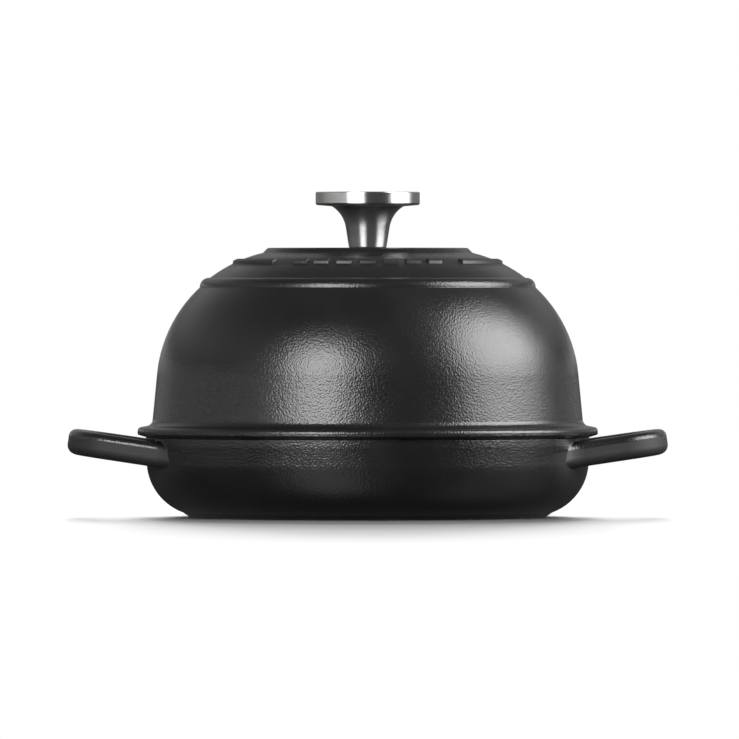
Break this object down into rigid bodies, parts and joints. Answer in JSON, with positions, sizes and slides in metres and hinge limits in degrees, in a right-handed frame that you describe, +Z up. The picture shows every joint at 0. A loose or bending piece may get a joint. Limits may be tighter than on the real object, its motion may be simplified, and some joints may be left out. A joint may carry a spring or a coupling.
{
  "type": "bread cloche",
  "caption": "Enamelled cast-iron bread cloche: shallow round base with loop handles under a tall domed lid with a stepped crown and a turned steel knob, for baking a loaf in its own steam.",
  "frame": {"origin": "middle of the flat foot, on the surface that the cloche stands on", "axes": "+Z up along the axis of the base and lid, X along the line of the two handles, -Y to the front"},
  "size_m": [0.3326, 0.255, 0.18],
  "materials": {
    "enamel": "satin black enamel with a fine pebbled skin",
    "stainless": "turned and brushed stainless steel",
    "fastener_steel": "plain stainless steel"
  },
  "bodies": {
    "base": {"base": "enamel"},
    "lid": {"lid": "enamel", "knob_stem": "stainless", "knob_cap": "stainless", "knob_screw": "fastener_steel", "flat_washer": "fastener_steel", "lock_washer": "fastener_steel"}
  },
  "joints": [
    {"name": "lid_lift", "type": "slide", "parent": "base", "child": "lid", "axis": [0, 0, 1], "range_m": [0, 0.2]}
  ]
}
